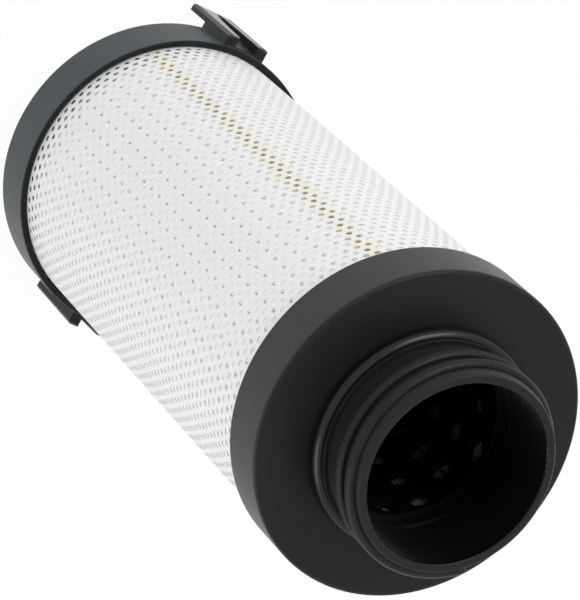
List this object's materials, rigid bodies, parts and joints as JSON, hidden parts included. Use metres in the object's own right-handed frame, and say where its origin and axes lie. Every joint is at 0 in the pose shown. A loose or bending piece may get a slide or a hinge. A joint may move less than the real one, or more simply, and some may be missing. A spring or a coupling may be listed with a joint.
{
  "type": "hydraulic filter element",
  "caption": "Hydraulic return filter element: pleated pack in a perforated white wrap between black end caps, with a coarse-threaded open neck and claws on the closed cap.",
  "frame": {"origin": "on the element's axis, in the plane of the feet of the two claws", "axes": "+Z along the axis from the closed cap to the open neck; +X through the first claw"},
  "size_m": [0.1042, 0.097, 0.2331],
  "materials": {
    "black_plastic": "satin, lightly worn",
    "seal_rubber": "smooth",
    "white_wrap": "perforated film, semi-matt",
    "amber_adhesive": "set adhesive",
    "potting": "set adhesive",
    "core_plastic": "satin",
    "mesh_white": "woven support mesh",
    "medium_white": "glass-fibre sheet"
  },
  "bodies": {
    "root": {"closed_cap": "black_plastic", "neck_cap": "black_plastic", "seal_ring": "seal_rubber", "closed_potting": "potting", "neck_potting": "potting", "centre_core": "core_plastic", "upstream_mesh": "mesh_white", "filter_medium": "medium_white", "downstream_mesh": "mesh_white", "seam_adhesive": "amber_adhesive", "outer_wrap": "white_wrap"}
  },
  "joints": []
}
